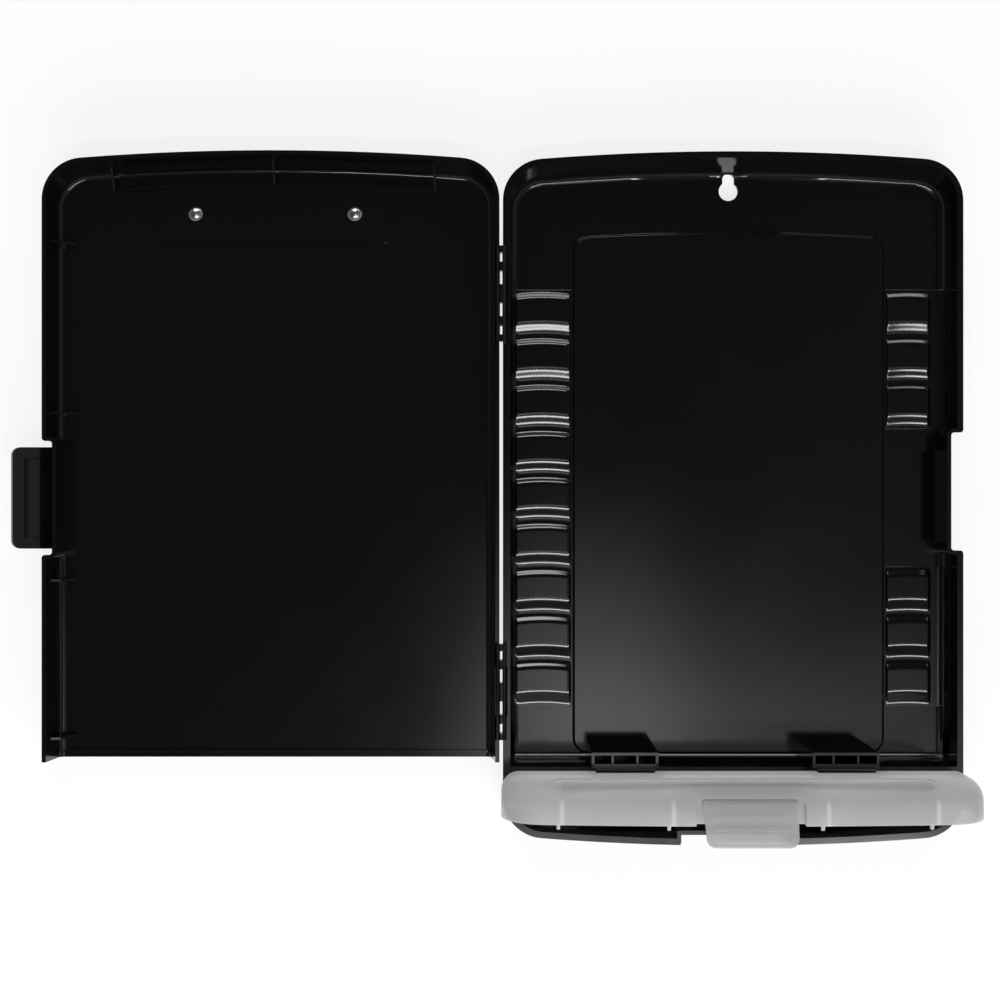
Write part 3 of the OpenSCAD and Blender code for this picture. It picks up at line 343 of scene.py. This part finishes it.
# %% Frosted plastic
FROST_TINT = (0.44, 0.62)
FROST_ROUGH = 0.38
HAZE_PER_M = 20.0
GRAINS_PER_M, GRAIN_DEPTH = 900.0, 0.02 * MM
# Painted light: the next value lightens the colour over the ribs as a painted glow, and the one after it
# darkens the colour over the grip band as painted shade.
RIB_PAINTED_GLOW = 0.25
BAND_PAINTED_SHADE = 0.2
SCATTERED = (0.8, 0.8, 0.8, 1)
SCATTERED_SHARE = 0.4
CLEAR = (0.9, 0.9, 0.9, 1)
CLEAR_SHARE = 0.3


def frosted_plastic(name):
    """A milky skin that lets part of the light through, with painted glow over the ribs and painted shade
    over the grip band.
    """
    material, tree = new_material(name)
    coords = add_node(tree, "ShaderNodeTexCoord").outputs["Object"]
    haze = add_node(tree, "ShaderNodeTexNoise", {"Vector": coords, "Scale": HAZE_PER_M, "Detail": 3.0})
    tint = add_node(tree, "ShaderNodeMapRange",
                    {"Value": haze.outputs["Fac"], "To Min": FROST_TINT[0], "To Max": FROST_TINT[1]})
    rib, band = rib_glow_and_band_shade(tree, coords)
    # Painted glow over the ribs and painted shade over the grip band go into the colour here.
    paler = math_node(tree, "ADD", tint.outputs[0], math_node(tree, "MULTIPLY", rib, RIB_PAINTED_GLOW))
    shade = math_node(tree, "SUBTRACT", paler, math_node(tree, "MULTIPLY", band, BAND_PAINTED_SHADE))
    colour = add_node(tree, "ShaderNodeCombineColor", {0: shade, 1: shade, 2: shade})
    skin = add_node(tree, "ShaderNodeBsdfPrincipled",
                    {"Base Color": colour.outputs[0], "Roughness": FROST_ROUGH, "IOR": 1.49,
                     "Normal": wavy_bump(tree, coords, GRAINS_PER_M, GRAIN_DEPTH)})
    scattered = add_node(tree, "ShaderNodeBsdfTranslucent", {"Color": SCATTERED})
    clear = add_node(tree, "ShaderNodeBsdfTransparent", {"Color": CLEAR})
    milky = add_node(tree, "ShaderNodeMixShader",
                     {0: SCATTERED_SHARE, 1: skin.outputs[0], 2: scattered.outputs[0]})
    thin = add_node(tree, "ShaderNodeMixShader",
                    {0: CLEAR_SHARE, 1: milky.outputs[0], 2: clear.outputs[0]})
    add_node(tree, "ShaderNodeOutputMaterial", {"Surface": thin.outputs[0]})
    return material


frosted = frosted_plastic("frosted_plastic")
print("made", frosted.name)

# %% [markdown]
# ## Plated steel
# The clip, its pin and the rivets are steel with bright nickel. Rolling leaves fine streaks
# along the sheet, so the noise that sets the gloss is stretched along x.

# %% Plated steel
NICKEL = (0.66, 0.65, 0.62, 1)
STREAKS_PER_M = (60, 2500, 2500)
NICKEL_ROUGH = (0.14, 0.3)


def plated_steel(name):
    """Nickel with streaks that run along x."""
    material, tree = new_material(name)
    coords = add_node(tree, "ShaderNodeTexCoord").outputs["Object"]
    along = add_node(tree, "ShaderNodeMapping", {"Vector": coords, "Scale": STREAKS_PER_M})
    streaks = add_node(tree, "ShaderNodeTexNoise",
                       {"Vector": along.outputs[0], "Scale": 1.0, "Detail": 2.0})
    rough = add_node(tree, "ShaderNodeMapRange",
                     {"Value": streaks.outputs["Fac"],
                      "To Min": NICKEL_ROUGH[0], "To Max": NICKEL_ROUGH[1]})
    skin = add_node(tree, "ShaderNodeBsdfPrincipled",
                    {"Base Color": NICKEL, "Metallic": 1.0, "Roughness": rough.outputs[0]})
    add_node(tree, "ShaderNodeOutputMaterial", {"Surface": skin.outputs[0]})
    return material


nickel = plated_steel("nickel_plate")
print("made", nickel.name)

# %% [markdown]
# ## Moulded edges
# A CAD solid has knife-sharp edges, and a moulding has none. Each piece is a merged copy of its
# solid: its round faces are shaded smooth, and a narrow bevel softens the edges of the plastic,
# which is what catches the light. Two segments are enough for it. The steel sheet keeps the
# crisp edges of a stamping.

# %% Finished copies of the solids
FINISH = {"black_shell": black_plastic, "frosted_flap": frosted, "plated_steel": nickel}
SOFT_EDGE = {"black_shell": 0.4 * MM, "frosted_flap": 0.3 * MM, "plated_steel": 0}
BEVEL_SEGMENTS = 2
MERGE_UNDER = 0.001 * MM
FLAT_ANGLE = math.radians(0.4)
SHARP_ANGLE = math.radians(28)
SLOTS = {s["node"]: s["material_slot"] for s in frame["record"]["subparts"]}
BODY_OF = {node: body for body, nodes in frame["record"]["behaviour"]["bodies"].items() for node in nodes}


def merged_mesh(name, source):
    """The source's triangles with shared corners and flat faces joined, smooth up to SHARP_ANGLE."""
    shape = bmesh.new()
    shape.from_mesh(source)
    bmesh.ops.remove_doubles(shape, verts=shape.verts, dist=MERGE_UNDER)
    bmesh.ops.dissolve_degenerate(shape, dist=MERGE_UNDER, edges=shape.edges)
    bmesh.ops.dissolve_limit(shape, angle_limit=FLAT_ANGLE, verts=shape.verts, edges=shape.edges)
    mesh = bpy.data.meshes.new(name)
    shape.to_mesh(mesh)
    shape.free()
    mesh.shade_smooth()
    mesh.set_sharp_from_angle(angle=SHARP_ANGLE)
    return mesh


def moulded_copy(node):
    """A copy of a solid with merged corners, smooth rounds, flat flats and soft edges."""
    mesh = merged_mesh(node + "_skin", frame["nodes"][node].data)
    mesh.materials.append(FINISH[SLOTS[node]])
    piece = bpy.data.objects.new(node + "_skin", mesh)
    bpy.context.scene.collection.objects.link(piece)
    if SOFT_EDGE[SLOTS[node]]:
        soft = piece.modifiers.new("soft_edges", "BEVEL")
        soft.width = SOFT_EDGE[SLOTS[node]]
        soft.segments = BEVEL_SEGMENTS
        soft.limit_method = "ANGLE"
        soft.angle_limit = SHARP_ANGLE
    flats = piece.modifiers.new("flat_faces", "WEIGHTED_NORMAL")
    flats.weight = 50
    flats.keep_sharp = True
    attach(piece, BODY_OF[node])
    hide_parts(node)
    return piece


for node in sorted(frame["nodes"]):
    made = moulded_copy(node)
    print(made.name, len(made.data.polygons), "faces")

# %% [markdown]
# ## Pads beside the raised panel
# Down both sides of the panel lie low pads with bowed edges: one run of nine beside the hinge,
# and two runs of three on the other side, with the latch between them. Each run is one thin
# strip that lies just over the solid's own floor and covers its pockets. A strip is a height
# worked out from two numbers, across and along. A pad rises and falls as half a cosine wave,
# more gently toward the front, so that its slopes draw soft lines of light. Solidify then gives
# the strip a wall.

# %% Height of the pads
PAD_RISE = 1.63 * MM
PAD_PITCH = 24.9 * MM
FIRST_PAD = 101.15 * MM
PAD_HALF = 8.65 * MM
FRONT_SLOPE, BACK_SLOPE = 8.2 * MM, 5.2 * MM
BOW_R = 107 * MM
END_RAMP = 1.2 * MM
FILLET_R = 4 * MM


def ease(t):
    """Half a cosine wave: 0 below 0, 1 above 1."""
    return 0.5 - 0.5 * np.cos(np.pi * np.clip(t, 0, 1))


def pad_height(x, y, ends, numbers):
    """PAD_RISE times the tallest pad there, times a ramp at both ends.

    A pad is one eased slope up times one eased slope down, along a line that bows as a circle.
    """
    bowed = y + BOW_R - np.sqrt(BOW_R ** 2 - (x - (ends[0] + ends[1]) / 2) ** 2)
    rise = np.zeros_like(x)
    for number in numbers:
        place = bowed - (FIRST_PAD - number * PAD_PITCH)
        pad = ease((place + PAD_HALF) / FRONT_SLOPE + 0.5) * ease((PAD_HALF - place) / BACK_SLOPE + 0.5)
        rise = np.maximum(rise, pad)
    return rise * PAD_RISE * ease((x - ends[0]) / END_RAMP) * ease((ends[1] - x) / END_RAMP)


def fillet_height(x, wall, inward):
    """A quarter circle that rises to the side wall; inward is the direction away from it."""
    reach = np.clip((FILLET_R - inward * (x - wall)) / FILLET_R, 0, 1)
    return FILLET_R * (1 - np.sqrt(1 - reach ** 2))


print("a pad rises", round(PAD_RISE / MM, 2), "mm")

# %% Grid of a strip
STEP_ALONG = 0.35 * MM
SPARE_FRONT, SPARE_BACK = 1.2 * MM, 0.3 * MM
POINTS_ACROSS, POINTS_IN_RAMP = 24, 9


def strip_grid(sheet, ends, numbers):
    """x and y of a grid over the strip, with extra columns where the pads' ends ramp."""
    back = FIRST_PAD - min(numbers) * PAD_PITCH + PAD_HALF + BACK_SLOPE / 2
    front = FIRST_PAD - max(numbers) * PAD_PITCH - PAD_HALF - FRONT_SLOPE / 2
    fine = np.linspace(0, END_RAMP, POINTS_IN_RAMP)
    across = np.sort(np.concatenate([np.linspace(*sheet, POINTS_ACROSS), ends[0] + fine, ends[1] - fine]))
    along = np.linspace(front - SPARE_FRONT, back + SPARE_BACK, int((back - front) / STEP_ALONG))
    return np.meshgrid(across, along)


def grid_mesh(name, x, y, z):
    """One four-sided face between each point of the grid and its next in both directions."""
    corner = np.arange(x.size).reshape(x.shape)
    faces = np.stack([corner[:-1, :-1], corner[:-1, 1:], corner[1:, 1:], corner[1:, :-1]], axis=-1)
    mesh = bpy.data.meshes.new(name)
    points = np.stack([x, y, z], axis=-1)
    mesh.from_pydata(points.reshape(-1, 3).tolist(), [], faces.reshape(-1, 4).tolist())
    mesh.shade_smooth()
    return mesh


print("a strip has", POINTS_ACROSS + 2 * POINTS_IN_RAMP, "points across")

# %% Strips of pads
FLOOR_DEPTH = 20.2 * MM
CLEAR_OF_FLOOR = 0.03 * MM
FLOOR_UP = HINGE_Z - FLOOR_DEPTH + CLEAR_OF_FLOOR
STRIP_WALL = 0.4 * MM
LEFT = {"sheet": (6.3 * MM, 37.9 * MM), "ends": (6.9 * MM, 37.6 * MM),
        "wall": 5.3 * MM, "inward": 1}
RIGHT = {"sheet": (207.1 * MM, 238.8 * MM), "ends": (207.3 * MM, 231.5 * MM),
         "wall": 239.7 * MM, "inward": -1}


def pad_strip(name, sheet, ends, wall, inward, numbers):
    """The floor's height plus the pads or the wall's fillet, whichever is higher.

    All x are measured from the long hinge: the sheet's two edges, the pads' two ends, the wall.
    """
    x, y = strip_grid(sheet, ends, numbers)
    z = FLOOR_UP + np.maximum(pad_height(x, y, ends, numbers), fillet_height(x, wall, inward))
    mesh = grid_mesh(name, HINGE_X + x, y, z)
    mesh.materials.append(black_plastic)
    piece = bpy.data.objects.new(name, mesh)
    bpy.context.scene.collection.objects.link(piece)
    under = piece.modifiers.new("wall", "SOLIDIFY")
    under.thickness = STRIP_WALL
    under.offset = -1
    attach(piece, "tray")
    print(name, len(mesh.polygons), "faces")
    return piece


pad_strip("side_pads_left", numbers=range(9), **LEFT)
pad_strip("side_pads_right_back", numbers=range(3), **RIGHT)
pad_strip("side_pads_right_front", numbers=range(6, 9), **RIGHT)
